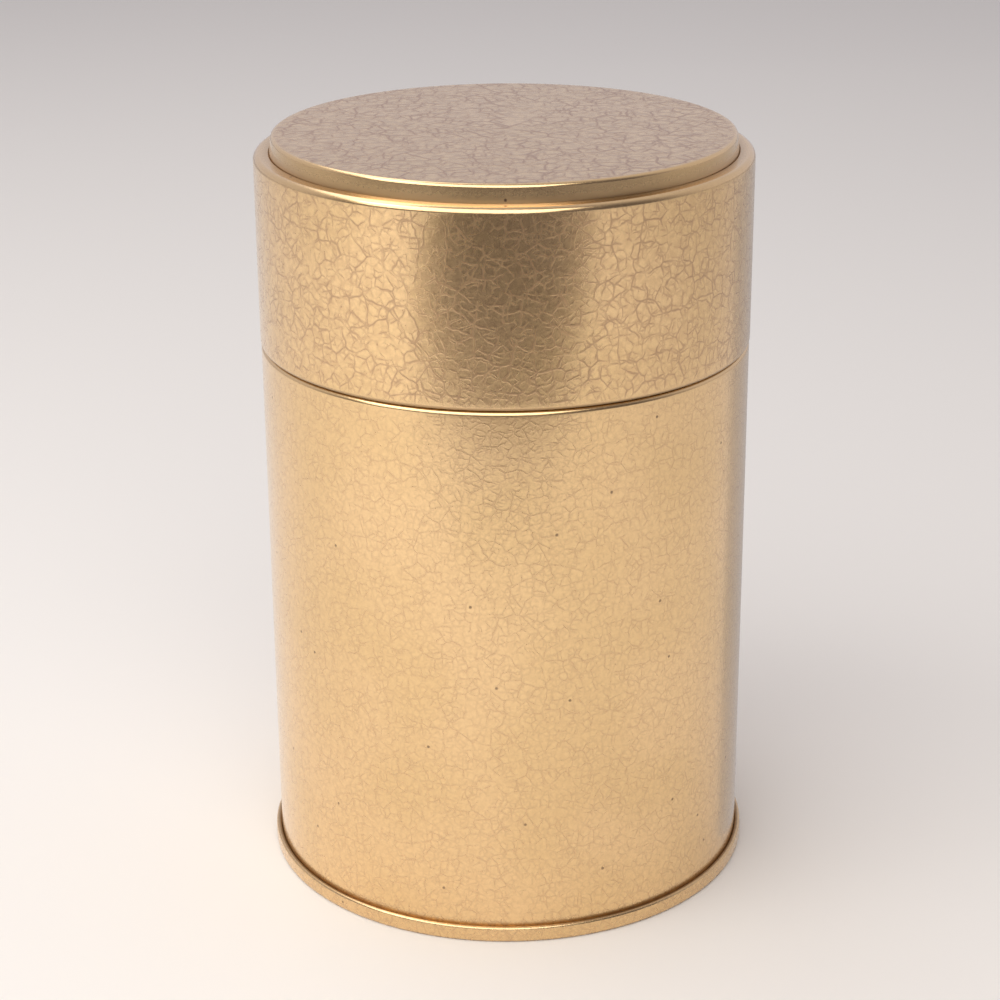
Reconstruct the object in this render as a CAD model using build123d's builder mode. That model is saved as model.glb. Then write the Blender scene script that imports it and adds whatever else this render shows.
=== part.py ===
from build123d import *
from math import copysign
import os

# A round tea tin of rolled and pressed tinplate, in three bodies: a can with a raised neck,
# a plug lid with a knob that closes the neck, and a tall outer lid that slides over the neck
# until its wall is flush with the can's. Millimetres. The origin is the centre of the foot.

# Overall size
LID_RADIUS = 40.0
HEIGHT = 124.4
SHEET = 0.28                        # tinplate thickness

# Clearances
PRESSED = 0.04                      # between sheets that are pressed or seamed together
RESTING = 0.05                      # under a lid that rests on an edge
SLIDING = 0.14                      # radial, between the neck and each lid

# Can body
BODY_RADIUS = LID_RADIUS - 0.1
BODY_TOP = 90.4                     # where the body's rolled edge meets the outer lid's
EDGE_CURL = 1.5                     # width and depth of the rolled edges at that joint
EDGE_CURL_BEND = 0.7
EDGE_CURL_END = 0.5                 # from the wall's outer face to the free end of its curl

# Double seam at the foot: three more layers of sheet outside the body wall
LAYER = SHEET + PRESSED
SEAM_RADIUS = BODY_RADIUS + 3 * LAYER
SEAM_HEIGHT = 2.65
SEAM_HOOK_TOP = SEAM_HEIGHT - 0.55  # free end of the body's hook
SEAM_HOOK_LOW = 0.95                # free end of the bottom's hook
SEAM_HOOK_BEND = 0.17
SEAM_CORNER = 0.55
SEAM_TOP_BEND = 0.44
COMPOUND_WIDTH = 0.24
COMPOUND_HEIGHT = 0.16

# Countersunk bottom
BOTTOM_RISE = 3.3
BOTTOM_PANEL_RISE = 3.9
BOTTOM_PANEL_RADIUS = 30.0
BOTTOM_PANEL_SLOPE = 1.2            # width of the slope round the raised panel
BOTTOM_PANEL_BEND = 0.6
CHUCK_WALL_BEND = 0.4

# Neck
NECK_RADIUS = LID_RADIUS - EDGE_CURL - SLIDING
NECK_TOP = 115.5
NECK_FOOT = 72.0
NECK_FLARE_RADIUS = BODY_RADIUS - SHEET - 0.06
NECK_FLARE_HEIGHT = 2.0
NECK_FLARE_BEND = 1.0
NECK_BEAD_RADIUS = NECK_RADIUS + 0.54
NECK_BEAD_SLOPE = 0.8               # height of each slope of the bead
NECK_BEAD_FLAT = 1.0                # height of the bead between its slopes
NECK_BEAD_BEND = 0.5
NECK_BEAD_CREST_BEND = 0.7
NECK_CURL = 1.0
NECK_CURL_BEND = 0.46
NECK_CURL_END = 0.36

# Plug lid
PLUG_RADIUS = NECK_RADIUS - NECK_CURL - SLIDING
PLUG_RIM_RADIUS = NECK_RADIUS - 0.16
PLUG_RIM = 0.9                      # depth of the rolled rim that rests on the neck
PLUG_FLOOR = 109.0
PLUG_FLOOR_BEND = 1.2
PLUG_PANEL_RISE = 1.2
PLUG_PANEL_RADIUS = 26.0
PLUG_PANEL_SLOPE = 1.6              # width of the slope round the raised panel
PLUG_PANEL_BEND = 1.0
PLUG_RIM_BEND = 0.16

# Knob and its fastening
KNOB_TOP = 118.3
KNOB_RADIUS = 7.0
KNOB_WAIST_RADIUS = 3.1
KNOB_FOOT_RADIUS = 4.3
RIVET_RADIUS = 1.2
RIVET_HEAD_RADIUS = 2.5
RIVET_HEAD = 0.7
WASHER_RADIUS = 3.6
WASHER = 0.4
FASTENED = 0.03                     # between the clamped knob, plate, washer and rivet head

# Outer lid
LID_FOOT = BODY_TOP + RESTING
SHOULDER_TOP = 121.6
SHOULDER_BEND = 1.0
PANEL_RADIUS = 37.5                 # raised disc on top, at the foot of its edge
PANEL_DRAFT = 0.35                  # how far the disc's edge leans in towards its top
PANEL_BEND = 0.3
PANEL_FOOT_BEND = 0.45
PANEL_SKIRT_BEND = 0.6
PANEL_SKIRT_FOOT = 117.0

# Welded side seam at the back of each rolled wall
SIDE_SEAM_WIDTH = 0.3
SIDE_SEAM_DEPTH = 0.1


def sheet_section(points, bends):
    """The section of a bent sheet, in radius and height: the points run along one face, each
    corner but the ends has a bend radius, and the sheet lies on the left of the points."""
    corners = [Vector(*point) for point in points]
    lefts = [(end - start).normalized().rotate(Axis.Z, 90) for start, end in zip(corners, corners[1:])]
    far_corners = [corners[0] + lefts[0] * SHEET]
    far_bends = []
    for corner, bend, before, after in zip(corners[1:], bends, lefts, lefts[1:]):
        far_corners.append(corner + (before + after) * (SHEET / (1 + before.dot(after))))
        far_bends.append(bend - copysign(SHEET, before.cross(after).Z))
    far_corners.append(corners[-1] + lefts[-1] * SHEET)
    with BuildSketch(Plane.XZ) as section:
        with BuildLine():
            FilletPolyline(*corners, radius=bends)
            FilletPolyline(*far_corners, radius=far_bends)
            Line(corners[0], far_corners[0])
            Line(corners[-1], far_corners[-1])
        make_face()
    return section.sketch


def turned_section(points, bends):
    """A closed section, in radius and height, with a bend radius at every corner."""
    with BuildSketch(Plane.XZ) as section:
        with BuildLine():
            FilletPolyline(*points, radius=bends, close=True)
        make_face()
    return section.sketch


def side_seam(radius, low, high):
    """The fine groove outside a rolled wall, along the weld at the back."""
    with BuildPart() as groove:
        with BuildSketch(Plane.XY.offset(low)):
            with Locations((0, radius)):
                Rectangle(SIDE_SEAM_WIDTH, 2 * SIDE_SEAM_DEPTH)
        extrude(amount=high - low)
    return groove.part


# ---------------------------------------------------------------- can

# The body wall, from its hook in the double seam up to its inward rolled edge.
with BuildPart() as body_wall:
    body_section = sheet_section(
        [
            (BODY_RADIUS + LAYER + PRESSED, SEAM_HOOK_TOP),
            (BODY_RADIUS + LAYER + PRESSED, LAYER + SHEET),
            (BODY_RADIUS, LAYER + SHEET),
            (BODY_RADIUS, BODY_TOP),
            (BODY_RADIUS - EDGE_CURL, BODY_TOP),
            (BODY_RADIUS - EDGE_CURL, BODY_TOP - EDGE_CURL),
            (BODY_RADIUS - EDGE_CURL_END, BODY_TOP - EDGE_CURL),
        ],
        [SEAM_HOOK_BEND, SEAM_HOOK_BEND, EDGE_CURL_BEND, EDGE_CURL_BEND, EDGE_CURL_BEND],
    )
    revolve(body_section, axis=Axis.Z)
    add(side_seam(BODY_RADIUS, SEAM_HEIGHT + 0.2, BODY_TOP - EDGE_CURL), mode=Mode.SUBTRACT)

# The bottom, from its countersunk panel down the chuck wall, round the foot and over the hook.
with BuildPart() as bottom_panel:
    chuck_radius = BODY_RADIUS - SHEET - LAYER
    bottom_section = sheet_section(
        [
            (0, BOTTOM_PANEL_RISE),
            (BOTTOM_PANEL_RADIUS, BOTTOM_PANEL_RISE),
            (BOTTOM_PANEL_RADIUS + BOTTOM_PANEL_SLOPE, BOTTOM_RISE),
            (chuck_radius, BOTTOM_RISE),
            (chuck_radius, 0),
            (SEAM_RADIUS, 0),
            (SEAM_RADIUS, SEAM_HEIGHT),
            (BODY_RADIUS + PRESSED, SEAM_HEIGHT),
            (BODY_RADIUS + PRESSED, SEAM_HOOK_LOW),
        ],
        [
            BOTTOM_PANEL_BEND,
            BOTTOM_PANEL_BEND,
            CHUCK_WALL_BEND,
            SEAM_CORNER,
            SEAM_CORNER,
            SEAM_TOP_BEND,
            SEAM_TOP_BEND,
        ],
    )
    revolve(bottom_section, axis=Axis.Z)

# The sealing compound, a thin ring under the top of the double seam.
with BuildPart() as bottom_seam_compound:
    compound_middle = SEAM_HOOK_TOP + 0.03 + COMPOUND_HEIGHT / 2
    with BuildSketch(Plane.XZ):
        with Locations((BODY_RADIUS + LAYER + LAYER / 2 + PRESSED / 2, compound_middle)):
            Rectangle(COMPOUND_WIDTH, COMPOUND_HEIGHT)
    revolve(axis=Axis.Z)

# The neck sleeve: a flared foot inside the body, a bead under the body's rolled edge, and a
# plain wall up to an inward rolled top.
with BuildPart() as neck_sleeve:
    bead_top = BODY_TOP - EDGE_CURL - 0.1
    bead_low = bead_top - NECK_BEAD_SLOPE - NECK_BEAD_FLAT
    neck_section = sheet_section(
        [
            (NECK_FLARE_RADIUS, NECK_FOOT),
            (NECK_RADIUS, NECK_FOOT + NECK_FLARE_HEIGHT),
            (NECK_RADIUS, bead_low - NECK_BEAD_SLOPE),
            (NECK_BEAD_RADIUS, bead_low),
            (NECK_BEAD_RADIUS, bead_low + NECK_BEAD_FLAT),
            (NECK_RADIUS, bead_top),
            (NECK_RADIUS, NECK_TOP),
            (NECK_RADIUS - NECK_CURL, NECK_TOP),
            (NECK_RADIUS - NECK_CURL, NECK_TOP - NECK_CURL),
            (NECK_RADIUS - NECK_CURL_END, NECK_TOP - NECK_CURL),
        ],
        [
            NECK_FLARE_BEND,
            NECK_BEAD_BEND,
            NECK_BEAD_CREST_BEND,
            NECK_BEAD_CREST_BEND,
            NECK_BEAD_BEND,
            NECK_CURL_BEND,
            NECK_CURL_BEND,
            NECK_CURL_BEND,
        ],
    )
    revolve(neck_section, axis=Axis.Z)
    neck_seam = side_seam(NECK_RADIUS, BODY_TOP - EDGE_CURL, NECK_TOP - NECK_CURL)
    add(neck_seam, mode=Mode.SUBTRACT)

# ---------------------------------------------------------------- plug lid

# The pan-shaped plug: a stiffening panel round the rivet hole, a wall that slides in the neck
# and a rolled rim that rests on it.
with BuildPart() as inner_lid_plate:
    rim_low = NECK_TOP + RESTING
    rim_inside = PLUG_RIM_RADIUS - SHEET
    plate_section = sheet_section(
        [
            (RIVET_RADIUS + 0.1, PLUG_FLOOR + PLUG_PANEL_RISE),
            (PLUG_PANEL_RADIUS, PLUG_FLOOR + PLUG_PANEL_RISE),
            (PLUG_PANEL_RADIUS + PLUG_PANEL_SLOPE, PLUG_FLOOR),
            (PLUG_RADIUS, PLUG_FLOOR),
            (PLUG_RADIUS, rim_low + PLUG_RIM - SHEET),
            (rim_inside, rim_low + PLUG_RIM - SHEET),
            (rim_inside, rim_low + SHEET),
            (PLUG_RADIUS + SHEET, rim_low + SHEET),
        ],
        [
            PLUG_PANEL_BEND,
            PLUG_PANEL_BEND,
            PLUG_FLOOR_BEND,
            PLUG_RIM_BEND,
            PLUG_RIM_BEND,
            PLUG_RIM_BEND,
        ],
    )
    revolve(plate_section, axis=Axis.Z)

# The turned knob: a foot, a waist and a rounded head, bored from below for the rivet.
with BuildPart() as inner_lid_knob:
    knob_foot = PLUG_FLOOR + PLUG_PANEL_RISE + SHEET + FASTENED
    bore_radius = RIVET_RADIUS + 0.05
    bore_top = knob_foot + 5.2
    knob_section = turned_section(
        [
            (bore_radius, knob_foot),
            (KNOB_FOOT_RADIUS, knob_foot),
            (KNOB_FOOT_RADIUS, knob_foot + 0.9),
            (KNOB_WAIST_RADIUS, knob_foot + 1.9),
            (KNOB_WAIST_RADIUS, KNOB_TOP - 3.8),
            (KNOB_RADIUS, KNOB_TOP - 2.7),
            (KNOB_RADIUS, KNOB_TOP - 0.5),
            (KNOB_RADIUS - 2.6, KNOB_TOP),
            (0, KNOB_TOP),
            (0, bore_top),
            (bore_radius, bore_top),
        ],
        [0, 0.3, 0.4, 0.8, 1.2, 0.8, 0.7, 4.0, 0, 0, 0],
    )
    revolve(knob_section, axis=Axis.Z)

# The washer under the plate.
with BuildPart() as knob_washer:
    washer_top = PLUG_FLOOR + PLUG_PANEL_RISE - FASTENED
    with BuildSketch(Plane.XY.offset(washer_top - WASHER)):
        Circle(WASHER_RADIUS)
        Circle(RIVET_RADIUS + 0.05, mode=Mode.SUBTRACT)
    extrude(amount=WASHER)
    fillet(knob_washer.edges().filter_by(GeomType.CIRCLE).group_by(SortBy.RADIUS)[-1], 0.1)

# The rivet, from its domed head under the washer up into the knob.
with BuildPart() as knob_rivet:
    head_top = washer_top - WASHER - FASTENED
    rivet_section = turned_section(
        [
            (0, head_top - RIVET_HEAD),
            (RIVET_HEAD_RADIUS - 0.9, head_top - RIVET_HEAD),
            (RIVET_HEAD_RADIUS, head_top - 0.3),
            (RIVET_HEAD_RADIUS, head_top),
            (RIVET_RADIUS, head_top),
            (RIVET_RADIUS, bore_top - 0.1),
            (0, bore_top - 0.1),
        ],
        [0, 0.8, 0.2, 0, 0, 0.2, 0],
    )
    revolve(rivet_section, axis=Axis.Z)

# ---------------------------------------------------------------- outer lid

# The lid's wall: a rolled lower edge, a plain side, and a rounded top edge turned in as the
# narrow shoulder round the raised disc.
with BuildPart() as lid_wall:
    lid_section = sheet_section(
        [
            (LID_RADIUS - EDGE_CURL_END, LID_FOOT + EDGE_CURL),
            (LID_RADIUS - EDGE_CURL, LID_FOOT + EDGE_CURL),
            (LID_RADIUS - EDGE_CURL, LID_FOOT),
            (LID_RADIUS, LID_FOOT),
            (LID_RADIUS, SHOULDER_TOP),
            (PANEL_RADIUS + 0.12, SHOULDER_TOP),
        ],
        [EDGE_CURL_BEND, EDGE_CURL_BEND, EDGE_CURL_BEND, SHOULDER_BEND],
    )
    revolve(lid_section, axis=Axis.Z)
    lid_seam = side_seam(LID_RADIUS, LID_FOOT + EDGE_CURL, SHOULDER_TOP - SHOULDER_BEND)
    add(lid_seam, mode=Mode.SUBTRACT)

# The lid's top: the raised disc, its steep edge, a flange under the shoulder and a skirt
# pressed inside the wall.
with BuildPart() as lid_top_panel:
    flange_low = SHOULDER_TOP - SHEET - LAYER
    skirt_inside = LID_RADIUS - SHEET - LAYER
    top_section = sheet_section(
        [
            (0, HEIGHT - SHEET),
            (PANEL_RADIUS - PANEL_DRAFT - SHEET, HEIGHT - SHEET),
            (PANEL_RADIUS - SHEET, flange_low),
            (skirt_inside, flange_low),
            (skirt_inside, PANEL_SKIRT_FOOT),
        ],
        [PANEL_BEND, PANEL_FOOT_BEND, PANEL_SKIRT_BEND],
    )
    revolve(top_section, axis=Axis.Z)

# ---------------------------------------------------------------- files

os.makedirs("parts", exist_ok=True)

body_wall.part.label = "body_wall"
export_step(body_wall.part, "parts/body_wall.step")

bottom_panel.part.label = "bottom_panel"
export_step(bottom_panel.part, "parts/bottom_panel.step")

bottom_seam_compound.part.label = "bottom_seam_compound"
export_step(bottom_seam_compound.part, "parts/bottom_seam_compound.step")

neck_sleeve.part.label = "neck_sleeve"
export_step(neck_sleeve.part, "parts/neck_sleeve.step")

inner_lid_plate.part.label = "inner_lid_plate"
export_step(inner_lid_plate.part, "parts/inner_lid_plate.step")

inner_lid_knob.part.label = "inner_lid_knob"
export_step(inner_lid_knob.part, "parts/inner_lid_knob.step")

knob_washer.part.label = "knob_washer"
export_step(knob_washer.part, "parts/knob_washer.step")

knob_rivet.part.label = "knob_rivet"
export_step(knob_rivet.part, "parts/knob_rivet.step")

lid_wall.part.label = "lid_wall"
export_step(lid_wall.part, "parts/lid_wall.step")

lid_top_panel.part.label = "lid_top_panel"
export_step(lid_top_panel.part, "parts/lid_top_panel.step")
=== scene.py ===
import math

import bpy
from mathutils import Matrix, Vector, noise


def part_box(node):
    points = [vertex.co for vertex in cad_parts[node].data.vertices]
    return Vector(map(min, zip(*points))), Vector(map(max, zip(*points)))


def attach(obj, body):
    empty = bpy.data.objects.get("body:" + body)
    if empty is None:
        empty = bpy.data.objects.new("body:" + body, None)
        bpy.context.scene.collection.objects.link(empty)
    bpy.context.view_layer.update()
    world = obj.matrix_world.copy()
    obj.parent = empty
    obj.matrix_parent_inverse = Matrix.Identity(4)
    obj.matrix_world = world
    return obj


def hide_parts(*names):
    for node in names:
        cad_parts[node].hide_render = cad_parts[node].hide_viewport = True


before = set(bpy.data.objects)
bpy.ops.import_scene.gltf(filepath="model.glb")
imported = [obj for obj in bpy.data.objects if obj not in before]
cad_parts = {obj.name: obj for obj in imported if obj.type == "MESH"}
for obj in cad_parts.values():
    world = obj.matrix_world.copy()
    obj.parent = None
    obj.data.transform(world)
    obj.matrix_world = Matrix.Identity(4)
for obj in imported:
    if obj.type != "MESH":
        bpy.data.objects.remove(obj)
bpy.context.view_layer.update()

# Profiles are in millimetres, as (radius, height), and become metres when a mesh is made.
MM = 0.001

# Sheet metal
SHEET = 0.28                 # tinplate thickness
PRESSED = 0.04               # gap between sheets that are pressed together
LAYER = SHEET + PRESSED
WAVINESS = 0.05              # most that a rolled sheet is uneven
WAVE_RADIUS = 60.0           # the waviness is laid out round a cylinder of this radius
WAVE_RATE = 1.4              # waves per that radius

# Rolled edges of the body and the outer lid
CURL = 1.5
CURL_BEND = 0.7
CURL_END = 0.5               # from the wall's outer face to the free end of its curl

# Outer lid
SHOULDER_BEND = 1.0
SHOULDER_GAP = 0.12          # between the shoulder's inner edge and the foot of the disc's edge
DISC_INSET = 2.5             # the foot of the raised disc's edge, inside the lid's wall
DISC_DRAFT = 0.35            # how far that edge leans in towards its top
DISC_BEND = 0.3
FLANGE_BEND = 0.45
SKIRT_BEND = 0.6

# Double seam at the foot, and the bottom
SEAM_HEIGHT = 2.65
SEAM_CORNER = 0.55
SEAM_TOP_BEND = 0.44
BODY_HOOK_TOP = SEAM_HEIGHT - 0.55
BODY_HOOK_BEND = 0.17
BOTTOM_HOOK_LOW = 0.95
PANEL_RADIUS = 30.0          # raised panel in the middle of the bottom
PANEL_SLOPE = 1.2            # width of the slope round it
PANEL_RISE = 0.6
PANEL_BEND = 0.6
CHUCK_BEND = 0.4

# Welded side seam of a rolled wall, at the back
WELD_WIDTH = 0.3
WELD_DEPTH = 0.1
WELD_ANGLE = math.pi / 2
WELD_FLOOR, WELD_EDGE = 0.6, 1.0   # where its floor and its sides end, in half widths

# Meshes
SEGMENTS = 288               # round each turned piece
ARC_STEP = math.radians(9)   # between points round a bend
RUN_STEP = 3.0               # between points along a straight run
END_STEPS = (0.5, 1.0, 1.5)  # further points, this far from the ends of a long run
SHARP_ANGLE = math.radians(50)
ON_AXIS = 1e-6               # a radius below this is on the axis
SAME_RADIUS = 0.01           # radii that differ by less are the same
LACQUER, TINNED = 0, 1       # material slots of the outer shells

# Crackled lacquer
WALL_RADIUS = 40.0           # the crackle is laid out as if round a wall of this radius
LEVEL = 0.7                  # where a normal points up or down by more, the sheet is a disc
CRACKLE_CELLS = ((4.2, 1.0), (2.6, 0.9), (1.7, 0.6))  # size of the cells, and their strength
CRACKLE_WARP = (0.8, 0.35)   # size and amount of the lines' wandering, in cells
CRACKLE_BREAKS = 0.7         # gaps along the lines, per cell
SPECK_SCALE = 0.055          # specks per millimetre
SPECK_CORE, SPECK_RIM = 0.008, 0.018   # where a speck starts and ends fading, in its spacing
SPECK_STRENGTH = 1.2
CRACK_ROUGHNESS = 0.2        # added to the lacquer's, where it is cracked
SPECK_AND_PAINTED_SHADE_ROUGHNESS = 0.4         # and where there are specks, and where shade is painted on
NOISE_RANGE = (0.3, 0.7)     # most of a smooth noise lies between these
COATINGS = {                 # node: scale of the crackle's cells, and width of its lines
    "lid_wall": (0.85, 0.25),
    "lid_top_panel": (1.15, 0.42),
    "body_wall": (0.65, 0.23),
    "bottom_panel": (0.65, 0.23),
}

# Colours, as linear red, green and blue. Pairs are the two ends of a mottle.
GOLD = ((0.86, 0.6, 0.3), (0.9, 0.63, 0.33))
TARNISH = (0.6, 0.38, 0.2)
CRACK = (0.46, 0.28, 0.17)
# The dark brown of the specks, and of the shade painted into grooves and joints
SPECK_AND_PAINTED_SHADE_COLOUR = (0.12, 0.075, 0.05)
TIN = ((0.66, 0.65, 0.62), (0.8, 0.79, 0.76))
ALUMINIUM = ((0.70, 0.69, 0.67), (0.84, 0.83, 0.81))
COMPOUND = ((0.24, 0.22, 0.17), (0.33, 0.3, 0.24))
FLOOR_PAINT = (0.86, 0.84, 0.81)

# Studio, in metres
FLOOR_REACH = 3.0
WORLD_FRONT = (0.12, 0.11, 0.12)
WORLD_BACK = (0.6, 0.57, 0.6)
WORLD_BLEND = (-0.5, 0.3)    # the surround changes between these, from the front to the back
LIGHT_AIM = (0, 0, 0.07)
SOFTBOXES = (                # name, place, size, power in watts and colour
    ("key", (-0.22, -0.5, 0.62), (1.3, 0.8), 7.4, (1.0, 0.97, 0.93)),
    ("overhead", (-0.4, 0.2, 0.8), (1.2, 0.36), 1.9, (1.0, 0.98, 0.95)),
)
CARD_HEIGHT = 0.001
# Cards seen only in the tin's reflections: their glow is a painted reflection of shaded floor, in
# front of the tin and behind it on the right
CARDS = (                    # name, corners and glow
    (
        "painted_shade_front",
        ((-0.04, -0.285), (-0.27, -0.29), (-0.34, -1.4), (0.44, -1.4), (0.33, -0.37), (0.1, -0.285)),
        (0.14, 0.125, 0.13),
    ),
    (
        "painted_shade_right",
        ((0.043, -0.012), (0.4, 0.3), (0.3, 0.7), (0.04, 0.7), (0.041, 0.0)),
        (0.48, 0.46, 0.47),
    ),
)

# Camera, in front of the tin and looking down at it
CAMERA_SENSOR = 36.0
CAMERA_LENS = 87.3
CAMERA_CLIP = (0.01, 20)
CAMERA_DISTANCE = 0.3817
CAMERA_HEIGHT = 0.208
CAMERA_PITCH = math.radians(21.05)
CAMERA_YAW = math.radians(-0.16)
CAMERA_ROLL = math.radians(-0.41)


# ---------------------------------------------------------------- outlines

def bent(points, bends):
    """The points of a bent line: straight runs, with an arc of the given radius at each corner."""
    corners = [Vector(point) for point in points]
    line = [corners[0]]
    for before, corner, after, bend in zip(corners, corners[1:], corners[2:], bends):
        run_in = (corner - before).normalized()
        run_out = (after - corner).normalized()
        turn = run_in.angle_signed(run_out)
        if bend <= 0:
            line.append(corner)
            continue
        start = corner - run_in * bend * math.tan(abs(turn) / 2)
        side = Vector((run_in.y, -run_in.x)) * math.copysign(1, turn)
        centre = start + side * bend
        steps = max(2, math.ceil(abs(turn) / ARC_STEP))
        for step in range(steps + 1):
            line.append(centre + Matrix.Rotation(-turn * step / steps, 2) @ (start - centre))
    return line + [corners[-1]]


def stepped(line):
    """The same line with extra points along its longer runs, closer together near their ends."""
    dense = [line[0]]
    for start, end in zip(line, line[1:]):
        length = (end - start).length
        parts = max(1, math.ceil(length / RUN_STEP))
        places = [length * part / parts for part in range(1, parts)]
        if length > 2 * RUN_STEP:
            places += [side for near in END_STEPS for side in (near, length - near)]
        dense += [start.lerp(end, place / length) for place in sorted(places)] + [end]
    return dense


def sheet(points, bends, near, far):
    """The closed outline of a bent sheet, as (radius, height, slot): the points run along its
    near face, and the sheet lies on their left, as in the CAD sections."""
    corners = [Vector(point) for point in points]
    runs = [(end - start).normalized() for start, end in zip(corners, corners[1:])]
    lefts = [Vector((-run.y, run.x)) for run in runs]
    others = [corners[0] + lefts[0] * SHEET]
    other_bends = []
    for corner, bend, before, after in zip(corners[1:], bends, lefts, lefts[1:]):
        others.append(corner + (before + after) * (SHEET / (1 + before.dot(after))))
        other_bends.append(bend - math.copysign(SHEET, before.x * after.y - before.y * after.x))
    others.append(corners[-1] + lefts[-1] * SHEET)
    near_side = [(point.x, point.y, near) for point in stepped(bent(corners, bends))]
    far_side = [(point.x, point.y, far) for point in stepped(bent(others, other_bends))]
    return near_side + far_side[::-1]


def ramp(value, start, end):
    """0 at start and 1 at end, with a smooth change between them."""
    part = min(1.0, max(0.0, (value - start) / (end - start)))
    return part * part * (3 - 2 * part)


# ---------------------------------------------------------------- meshes

def unevenness(angle, height):
    """The slight waviness of rolled sheet, in millimetres."""
    place = Vector((math.cos(angle), math.sin(angle), height / WAVE_RADIUS)) * WAVE_RATE
    return WAVINESS * noise.noise(place)


def columns_round(weld):
    """The angles at which a turned piece has points, with four more across a weld."""
    angles = [math.tau * i / SEGMENTS for i in range(SEGMENTS)]
    if weld:
        half = WELD_WIDTH / 2 / weld[0]
        places = (-WELD_EDGE, -WELD_FLOOR, WELD_FLOOR, WELD_EDGE)
        angles += [WELD_ANGLE + half * place for place in places]
    return sorted(angles)


def weld_groove(angle, radius, height, weld):
    """How deep the side seam's groove is at a point. weld is the radius and height range."""
    if not weld or abs(radius - weld[0]) > SAME_RADIUS or not weld[1] < height < weld[2]:
        return 0.0
    half = WELD_WIDTH / 2 / weld[0]
    on_floor = abs(angle - WELD_ANGLE) < half * (WELD_FLOOR + WELD_EDGE) / 2
    return WELD_DEPTH if on_floor else 0.0


def ring_of_points(radius, height, angles, weld):
    """The points round a turned piece at one point of its outline: only one if it's on the axis."""
    if radius < ON_AXIS:
        return [Vector((0, 0, height)) * MM]
    ring = []
    for angle in angles:
        reach = radius + unevenness(angle, height) - weld_groove(angle, radius, height, weld)
        ring.append(Vector((reach * math.cos(angle), reach * math.sin(angle), height)) * MM)
    return ring


def turned(name, outline, materials, crackle, painted_shade_and_specks, weld=None):
    """A closed outline turned about the Z axis. crackle(radius, height) is how strongly the
    lacquer is crackled at a point, and the function after it is how much shade is painted there."""
    angles = columns_round(weld)
    columns = len(angles)
    vertices, rings = [], []
    looks = {"crackle": [], "painted_shade_and_specks": []}
    for radius, height, _ in outline:
        ring = ring_of_points(radius, height, angles, weld)
        first = len(vertices)
        rings.append(range(first, first + columns) if len(ring) > 1 else [first] * columns)
        vertices += ring
        looks["crackle"] += [crackle(radius, height)] * len(ring)
        looks["painted_shade_and_specks"] += [painted_shade_and_specks(radius, height)] * len(ring)
    faces, slots = [], []
    for k, (_, _, slot) in enumerate(outline):
        ring, after = rings[k], rings[(k + 1) % len(rings)]
        if ring[0] == ring[-1] and after[0] == after[-1]:
            continue
        for i in range(columns):
            j = (i + 1) % columns
            faces.append(list(dict.fromkeys((ring[i], ring[j], after[j], after[i]))))
            slots.append(slot)
    mesh = bpy.data.meshes.new(name)
    mesh.from_pydata(vertices, [], faces)
    for material in materials:
        mesh.materials.append(material)
    mesh.polygons.foreach_set("material_index", slots)
    mesh.polygons.foreach_set("use_smooth", [True] * len(faces))
    for look, values in looks.items():
        mesh.attributes.new(look, "FLOAT", "POINT").data.foreach_set("value", values)
    mesh.set_sharp_from_angle(angle=SHARP_ANGLE)
    piece = bpy.data.objects.new(name, mesh)
    bpy.context.scene.collection.objects.link(piece)
    normals = piece.modifiers.new("weighted normals", "WEIGHTED_NORMAL")
    normals.keep_sharp = True
    return piece


# ---------------------------------------------------------------- shader nodes

def new_material(name):
    """An empty node material, its node tree and its surface input."""
    material = bpy.data.materials.new(name)
    material.use_nodes = True
    tree = material.node_tree
    tree.nodes.clear()
    return material, tree, tree.nodes.new("ShaderNodeOutputMaterial").inputs["Surface"]


def add(tree, kind, inputs, output=0, **settings):
    """Adds a shader node, sets or links its inputs, and returns one of its output sockets."""
    made = tree.nodes.new("ShaderNode" + kind)
    for key, value in settings.items():
        setattr(made, key, value)
    for key, value in inputs.items():
        if isinstance(value, bpy.types.NodeSocket):
            tree.links.new(value, made.inputs[key])
        else:
            made.inputs[key].default_value = value
    return made.outputs[output]


def calc(tree, operation, *values, clamp=False):
    """One step of arithmetic on numbers and sockets."""
    return add(tree, "Math", dict(enumerate(values)), operation=operation, use_clamp=clamp)


def vector_calc(tree, operation, vector, other):
    """One step of arithmetic on a vector and another vector."""
    return add(tree, "VectorMath", {0: vector, 1: other}, operation=operation)


def scaled(tree, vector, amount):
    """The vector times a number."""
    return add(tree, "VectorMath", {0: vector, "Scale": amount}, operation="SCALE")


def axis(tree, vector, name):
    """One axis of a vector."""
    return add(tree, "SeparateXYZ", {"Vector": vector}, output=name)


def remap(tree, value, low, high, to_low=0.0, to_high=1.0):
    """value from low to high, smoothly mapped to the other range."""
    inputs = {"Value": value, "From Min": low, "From Max": high, "To Min": to_low, "To Max": to_high}
    return add(tree, "MapRange", inputs, interpolation_type="SMOOTHSTEP")


def mixed(tree, part, first, second):
    """A colour part of the way from the first, a colour or a socket, to the second, a colour."""
    start = first if isinstance(first, bpy.types.NodeSocket) else (*first, 1)
    return add(tree, "Mix", {0: part, 6: start, 7: (*second, 1)}, output=2, data_type="RGBA")


def flat_noise(tree, place, scale, detail, output=0):
    """Smooth noise across a sheet, with scale waves per millimetre."""
    inputs = {"Vector": place, "Scale": scale, "Detail": detail}
    return add(tree, "TexNoise", inputs, output=output, noise_dimensions="2D")


def solid_noise(tree, place, scale, detail):
    """Smooth noise in space, with scale waves per millimetre."""
    return add(tree, "TexNoise", {"Vector": place, "Scale": scale, "Detail": detail})


def attribute(tree, name):
    """A mesh attribute that turned() wrote."""
    return add(tree, "Attribute", {}, output="Fac", attribute_name=name)


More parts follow.
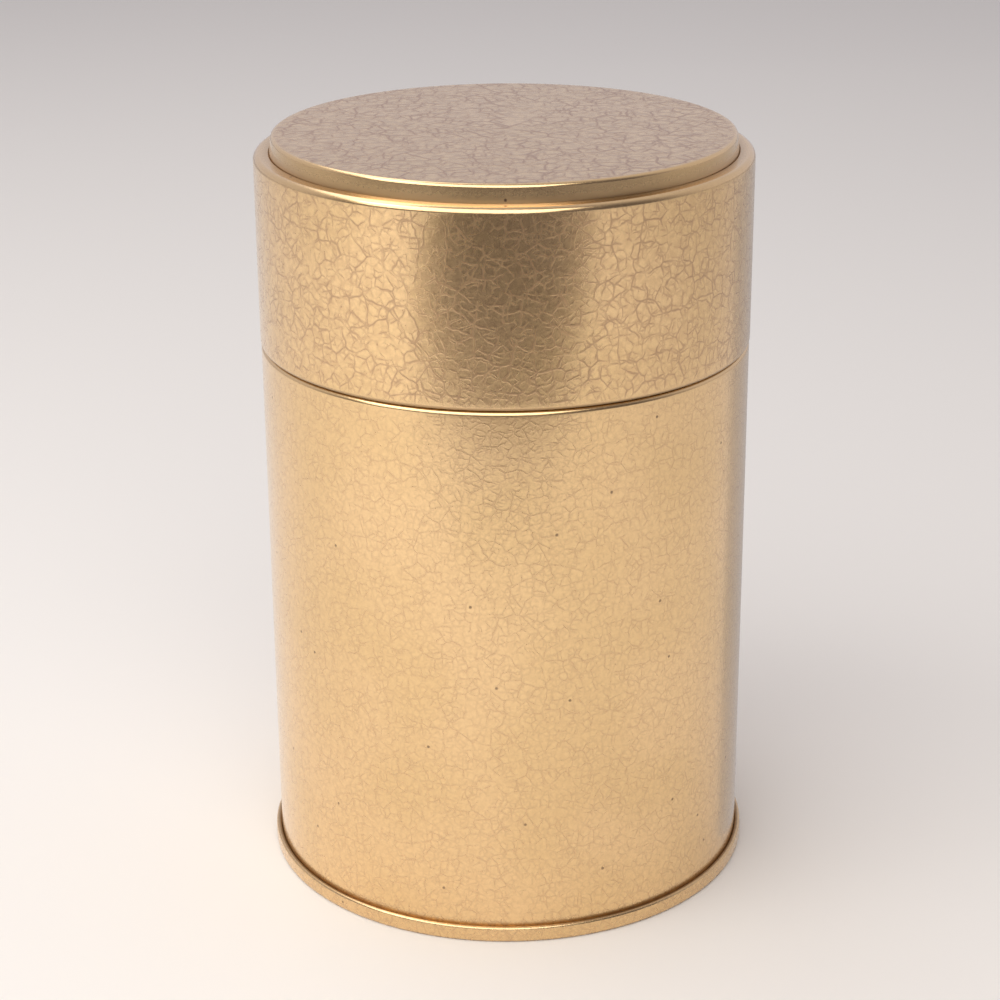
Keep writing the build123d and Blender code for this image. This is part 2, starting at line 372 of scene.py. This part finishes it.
def bumped(tree, height, depth):
    """A normal bent by the height, with its depth in millimetres."""
    return add(tree, "Bump", {"Height": height, "Strength": 1.0, "Distance": depth * MM})


# ---------------------------------------------------------------- materials

def place_mm(tree):
    """The point's place on its piece, in millimetres."""
    return scaled(tree, add(tree, "TexCoord", {}, output="Object"), 1 / MM)


def sheet_place(tree):
    """The point's place along its sheet, in millimetres: round and up on a wall, across on a disc."""
    place = place_mm(tree)
    front = calc(tree, "MULTIPLY", axis(tree, place, "Y"), -1.0)
    angle = calc(tree, "ARCTAN2", axis(tree, place, "X"), front)
    around = calc(tree, "MULTIPLY", angle, WALL_RADIUS)
    wall = add(tree, "CombineXYZ", {"X": around, "Y": axis(tree, place, "Z")})
    upward = calc(tree, "ABSOLUTE", axis(tree, add(tree, "TexCoord", {}, output="Normal"), "Z"))
    on_disc = calc(tree, "GREATER_THAN", upward, LEVEL)
    return add(tree, "Mix", {0: on_disc, 4: wall, 5: place}, output=1, data_type="VECTOR")


def warped(tree, place, size, amount):
    """The place pushed about by smooth noise of the given size, both in millimetres."""
    push = flat_noise(tree, place, 1 / size, 1.0, output="Color")
    push = vector_calc(tree, "SUBTRACT", push, (0.5, 0.5, 0.5))
    return vector_calc(tree, "ADD", place, scaled(tree, push, amount))


def crackle_lines(tree, place, cell, width):
    """Wandering, broken lines between cells, with the cells' size and the lines' width in mm."""
    wander, push = CRACKLE_WARP
    bent_place = warped(tree, place, cell * wander, cell * push)
    edge = add(tree, "TexVoronoi", {"Vector": bent_place, "Scale": 1 / cell},
               output="Distance", feature="DISTANCE_TO_EDGE", voronoi_dimensions="2D")
    line = remap(tree, edge, 0.0, width / cell, 1.0, 0.0)
    breaks = remap(tree, flat_noise(tree, place, CRACKLE_BREAKS / cell, 1.0), 0.36, 0.62, 0.12, 1.0)
    return calc(tree, "MULTIPLY", line, breaks)


def all_crackle(tree, place, crackle_size, width, strength):
    """The crackle's lines of every size together."""
    lines = 0.0
    for cell, part in CRACKLE_CELLS:
        layer = crackle_lines(tree, place, cell * crackle_size, width)
        lines = calc(tree, "MAXIMUM", lines, calc(tree, "MULTIPLY", layer, part))
    return calc(tree, "MULTIPLY", lines, strength)


def specks(tree, place, strength):
    """Sparse dark specks, about half a millimetre across, where the crackle is faint."""
    middle = add(tree, "TexVoronoi", {"Vector": place, "Scale": SPECK_SCALE}, output="Distance",
                 voronoi_dimensions="2D")
    speck = remap(tree, middle, SPECK_CORE, SPECK_RIM, SPECK_STRENGTH, 0.0)
    faint = calc(tree, "SUBTRACT", 1.05, strength, clamp=True)
    return calc(tree, "MULTIPLY", speck, faint)


def gold_lacquer(node):
    """Gold-coloured metal under clear lacquer, crackled where the piece's attribute says so."""
    crackle_size, width = COATINGS[node]
    material, tree, surface = new_material("lacquer_of_" + node)
    place = sheet_place(tree)
    strength = attribute(tree, "crackle")
    lines = all_crackle(tree, place, crackle_size, width, strength)
    # Real dark specks, together with the shade painted into grooves and joints by the piece's
    # attribute
    painted_shade_and_specks = calc(tree, "MAXIMUM", attribute(tree, "painted_shade_and_specks"), specks(tree, place, strength))
    grain = flat_noise(tree, place, 1.8, 2.0)
    crumple = flat_noise(tree, place, 0.45, 2.0)
    cloud = remap(tree, flat_noise(tree, place, 0.05, 1.0), *NOISE_RANGE)
    patch = remap(tree, flat_noise(tree, place, 0.7 / crackle_size, 2.0), 0.35, 0.65, 0.0, 0.32)
    patch = calc(tree, "MULTIPLY", patch, strength)
    worn = calc(tree, "MULTIPLY", lines, 0.7, clamp=True)

    colour = mixed(tree, cloud, *GOLD)
    colour = mixed(tree, patch, colour, TARNISH)
    colour = mixed(tree, worn, colour, CRACK)
    # Darkened where there are specks, and where shade is painted into grooves and joints
    colour = mixed(tree, painted_shade_and_specks, colour, SPECK_AND_PAINTED_SHADE_COLOUR)
    rough = remap(tree, grain, *NOISE_RANGE, 0.2, 0.235)
    rough = calc(tree, "MULTIPLY_ADD", worn, CRACK_ROUGHNESS, rough)
    rough = calc(tree, "MULTIPLY_ADD", painted_shade_and_specks, SPECK_AND_PAINTED_SHADE_ROUGHNESS, rough)
    relief = calc(tree, "MULTIPLY_ADD", grain, 0.2, crumple)
    relief = calc(tree, "MULTIPLY_ADD", relief, strength, lines)
    bump = bumped(tree, relief, 0.01)
    shader = add(tree, "BsdfPrincipled", {
        "Base Color": colour, "Metallic": 1.0, "Roughness": rough, "Normal": bump,
        "Coat Weight": 0.6, "Coat Roughness": 0.1, "Coat IOR": 1.5, "Coat Normal": bump,
    })
    tree.links.new(shader, surface)
    return material


def tinned_steel():
    """Bright tinned steel with fine rolling scratches and a faint cloudiness."""
    material, tree, surface = new_material("tinned_steel")
    place = place_mm(tree)
    colour = mixed(tree, solid_noise(tree, place, 0.25, 3.0), *TIN)
    drawn = vector_calc(tree, "MULTIPLY", place, (2.0, 2.0, 0.08))
    scratches = solid_noise(tree, drawn, 2.0, 4.0)
    shader = add(tree, "BsdfPrincipled", {
        "Base Color": colour, "Metallic": 1.0,
        "Roughness": remap(tree, scratches, *NOISE_RANGE, 0.28, 0.42),
        "Normal": bumped(tree, scratches, 0.003),
    })
    tree.links.new(shader, surface)
    return material


def knob_metal():
    """Turned aluminium, with the lathe's fine rings."""
    material, tree, surface = new_material("knob_metal")
    place = place_mm(tree)
    flat = vector_calc(tree, "MULTIPLY", place, (1.0, 1.0, 0.0))
    radius = add(tree, "VectorMath", {0: flat}, output="Value", operation="LENGTH")
    track = calc(tree, "ADD", radius, axis(tree, place, "Z"))
    rings = solid_noise(tree, add(tree, "CombineXYZ", {"X": track}), 5.0, 4.0)
    shader = add(tree, "BsdfPrincipled", {
        "Base Color": mixed(tree, rings, *ALUMINIUM), "Metallic": 1.0,
        "Roughness": remap(tree, rings, *NOISE_RANGE, 0.16, 0.3),
        "Normal": bumped(tree, rings, 0.006),
    })
    tree.links.new(shader, surface)
    return material


def seam_compound():
    """Rubbery sealing compound, slightly mottled."""
    material, tree, surface = new_material("seam_compound")
    mottle = solid_noise(tree, place_mm(tree), 3.0, 3.0)
    shader = add(tree, "BsdfPrincipled", {
        "Base Color": mixed(tree, mottle, *COMPOUND),
        "Roughness": remap(tree, mottle, *NOISE_RANGE, 0.7, 0.85),
    })
    tree.links.new(shader, surface)
    return material


def floor_paint():
    """The pale matte floor."""
    material, tree, surface = new_material("floor_paint")
    shader = add(tree, "BsdfPrincipled", {"Base Color": (*FLOOR_PAINT, 1), "Roughness": 0.8})
    tree.links.new(shader, surface)
    return material


# ---------------------------------------------------------------- pieces

def node_box(node):
    """The lowest and highest corner of a CAD node, in millimetres."""
    low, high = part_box(node)
    return low / MM, high / MM


def make_lid_wall(materials):
    """The outer lid's wall, from its rolled lower edge to the shoulder round the disc."""
    low, high = node_box("lid_wall")
    radius, foot, shoulder = high.x, low.z, high.z
    inner_edge = radius - DISC_INSET + SHOULDER_GAP
    outline = sheet(
        [
            (radius - CURL_END, foot + CURL),
            (radius - CURL, foot + CURL),
            (radius - CURL, foot),
            (radius, foot),
            (radius, shoulder),
            (inner_edge, shoulder),
        ],
        [CURL_BEND, CURL_BEND, CURL_BEND, SHOULDER_BEND], LACQUER, TINNED,
    )

    def crackle(r, z):
        # strong on the wall and faint on its rounded edges and the shoulder
        side = ramp(z, foot + 0.4, foot + 1.4) * ramp(z, shoulder - 0.5, shoulder - 1.6)
        return 0.15 + 0.85 * side

    def painted_shade_and_specks(r, z):
        # painted shade along the joint with the body, and in the groove round the disc
        joint = ramp(z, foot + 0.8, foot + 0.3)
        groove = ramp(r, inner_edge + 0.7, inner_edge + 0.1) * ramp(z, shoulder - 0.1, shoulder)
        return max(0.6 * joint, 0.35 * groove)

    weld = (radius, foot + CURL, shoulder - 1.2)
    return turned("outer_lid_wall", outline, materials, crackle, painted_shade_and_specks, weld)


def make_lid_top(materials):
    """The raised disc, its steep edge, the flange under the shoulder and the skirt."""
    low, high = node_box("lid_top_panel")
    top, skirt_foot = high.z, low.z
    shoulder = node_box("lid_wall")[1].z
    disc = high.x + PRESSED + SHEET - DISC_INSET
    flange = shoulder - SHEET - LAYER
    skirt = high.x - SHEET
    outline = sheet(
        [
            (0, top - SHEET),
            (disc - DISC_DRAFT - SHEET, top - SHEET),
            (disc - SHEET, flange),
            (skirt, flange),
            (skirt, skirt_foot),
        ],
        [DISC_BEND, FLANGE_BEND, SKIRT_BEND], TINNED, LACQUER,
    )

    def crackle(r, z):
        # only on the disc itself
        return 1.7 * ramp(r, disc - 0.7, disc - 1.1) * ramp(z, top - 0.4, top - 0.1)

    def painted_shade_and_specks(r, z):
        # painted shade in the groove at the foot of the disc's edge, and hidden below it
        return 0.35 * ramp(z, shoulder + 0.7, shoulder + 0.1)

    return turned("outer_lid_top", outline, materials, crackle, painted_shade_and_specks)


def make_body_wall(materials):
    """The can's wall, from its hook in the double seam to its rolled top edge."""
    low, high = node_box("body_wall")
    hook, top = high.x, high.z
    radius = hook - 2 * LAYER
    outline = sheet(
        [
            (hook - SHEET, BODY_HOOK_TOP),
            (hook - SHEET, low.z + SHEET),
            (radius, low.z + SHEET),
            (radius, top),
            (radius - CURL, top),
            (radius - CURL, top - CURL),
            (radius - CURL_END, top - CURL),
        ],
        [BODY_HOOK_BEND, BODY_HOOK_BEND, CURL_BEND, CURL_BEND, CURL_BEND], LACQUER, TINNED,
    )

    def crackle(r, z):
        # finer than on the lid, and faint on the rolled edge
        return 0.1 + 0.42 * ramp(z, top - 0.4, top - 1.3)

    def painted_shade_and_specks(r, z):
        # painted shade just above the double seam, in the corner where the wall meets it
        return 0.3 * ramp(z, SEAM_HEIGHT + 1.0, SEAM_HEIGHT + 0.1)

    weld = (radius, SEAM_HEIGHT + 0.2, top - 0.8)
    return turned("can_wall", outline, materials, crackle, painted_shade_and_specks, weld)


def make_bottom(materials):
    """The countersunk bottom and the outside of the double seam."""
    high = node_box("bottom_panel")[1]
    seam, panel = high.x, high.z - SHEET
    radius = seam - 3 * LAYER
    chuck = radius - SHEET - LAYER
    outline = sheet(
        [
            (0, panel),
            (PANEL_RADIUS, panel),
            (PANEL_RADIUS + PANEL_SLOPE, panel - PANEL_RISE),
            (chuck, panel - PANEL_RISE),
            (chuck, 0),
            (seam, 0),
            (seam, SEAM_HEIGHT),
            (radius + PRESSED, SEAM_HEIGHT),
            (radius + PRESSED, BOTTOM_HOOK_LOW),
        ],
        [
            PANEL_BEND, PANEL_BEND, CHUCK_BEND, SEAM_CORNER, SEAM_CORNER,
            SEAM_TOP_BEND, SEAM_TOP_BEND,
        ],
        LACQUER, TINNED,
    )

    def crackle(r, z):
        # fainter on the seam than on the panel
        return 0.5 if r > chuck else 0.9

    def painted_shade_and_specks(r, z):
        # painted shade along the seam's top, beside the wall, and a faint even share over the whole
        # piece that makes it a little darker and rougher
        return 0.08 + 0.5 * ramp(z, SEAM_HEIGHT - 0.3, SEAM_HEIGHT) * ramp(r, seam - 0.2, seam - 0.5)

    return turned("can_bottom", outline, materials, crackle, painted_shade_and_specks)


# ---------------------------------------------------------------- the tin

tinned, turned_metal, compound = tinned_steel(), knob_metal(), seam_compound()

for make, node, body in (
    (make_lid_wall, "lid_wall", "outer_lid"),
    (make_lid_top, "lid_top_panel", "outer_lid"),
    (make_body_wall, "body_wall", "can"),
    (make_bottom, "bottom_panel", "can"),
):
    shell = make([gold_lacquer(node), tinned])
    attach(shell, body)
    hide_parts(node)

for node, material in (
    ("neck_sleeve", tinned),
    ("inner_lid_plate", tinned),
    ("inner_lid_knob", turned_metal),
    ("knob_washer", tinned),
    ("knob_rivet", turned_metal),
    ("bottom_seam_compound", compound),
):
    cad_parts[node].material_slots[0].material = material


# ---------------------------------------------------------------- studio

def make_floor():
    """A large pale floor."""
    mesh = bpy.data.meshes.new("floor")
    corners = [(x * FLOOR_REACH, y * FLOOR_REACH, 0) for x, y in ((-1, -1), (1, -1), (1, 1), (-1, 1))]
    mesh.from_pydata(corners, [], [(0, 1, 2, 3)])
    mesh.materials.append(floor_paint())
    floor = bpy.data.objects.new("floor", mesh)
    bpy.context.scene.collection.objects.link(floor)


def make_softbox(name, place, size, power, colour):
    """A rectangular softbox that faces the tin."""
    data = bpy.data.lights.new(name, "AREA")
    data.shape = "RECTANGLE"
    data.size, data.size_y = size
    data.energy = power
    data.color = colour
    light = bpy.data.objects.new(name, data)
    light.location = place
    light.rotation_euler = (Vector(LIGHT_AIM) - Vector(place)).to_track_quat("-Z", "Y").to_euler()
    bpy.context.scene.collection.objects.link(light)


def make_card(name, corners, glow):
    """A card lying on the floor round the tin, seen only in the tin's reflections, where its glow is
    a painted reflection of shaded floor.
    """
    mesh = bpy.data.meshes.new(name)
    mesh.from_pydata([(x, y, CARD_HEIGHT) for x, y in corners], [], [range(len(corners))])
    material, tree, surface = new_material(name)
    shader = add(tree, "Emission", {"Color": (*glow, 1), "Strength": 1.0})
    tree.links.new(shader, surface)
    mesh.materials.append(material)
    card = bpy.data.objects.new(name, mesh)
    card.visible_camera = card.visible_diffuse = card.visible_shadow = False
    bpy.context.scene.collection.objects.link(card)


def make_world():
    """A pale surround behind the tin and a darker one on the camera's side."""
    world = bpy.data.worlds.new("studio")
    world.use_nodes = True
    tree = world.node_tree
    direction = add(tree, "TexCoord", {}, output="Generated")
    back = remap(tree, axis(tree, direction, "Y"), *WORLD_BLEND)
    colour = mixed(tree, back, WORLD_FRONT, WORLD_BACK)
    tree.links.new(colour, tree.nodes["Background"].inputs["Color"])
    bpy.context.scene.world = world


def make_camera():
    """The camera looks down at the tin from just above the lid's height."""
    data = bpy.data.cameras.new("camera")
    data.sensor_width = CAMERA_SENSOR
    data.lens = CAMERA_LENS
    data.clip_start, data.clip_end = CAMERA_CLIP
    heading = Vector((math.sin(CAMERA_YAW), math.cos(CAMERA_YAW), 0))
    ahead = heading * math.cos(CAMERA_PITCH) - Vector((0, 0, math.sin(CAMERA_PITCH)))
    right = Vector((heading.y, -heading.x, 0))
    turn = Matrix((right, right.cross(ahead), -ahead)).transposed().to_4x4()
    place = Matrix.Translation((0, -CAMERA_DISTANCE, CAMERA_HEIGHT))
    camera = bpy.data.objects.new("camera", data)
    camera.matrix_world = place @ turn @ Matrix.Rotation(CAMERA_ROLL, 4, "Z")
    bpy.context.scene.collection.objects.link(camera)
    bpy.context.scene.camera = camera


make_floor()
make_world()
for card in CARDS:
    make_card(*card)
for softbox in SOFTBOXES:
    make_softbox(*softbox)
make_camera()
bpy.context.scene.view_settings.view_transform = "Standard"
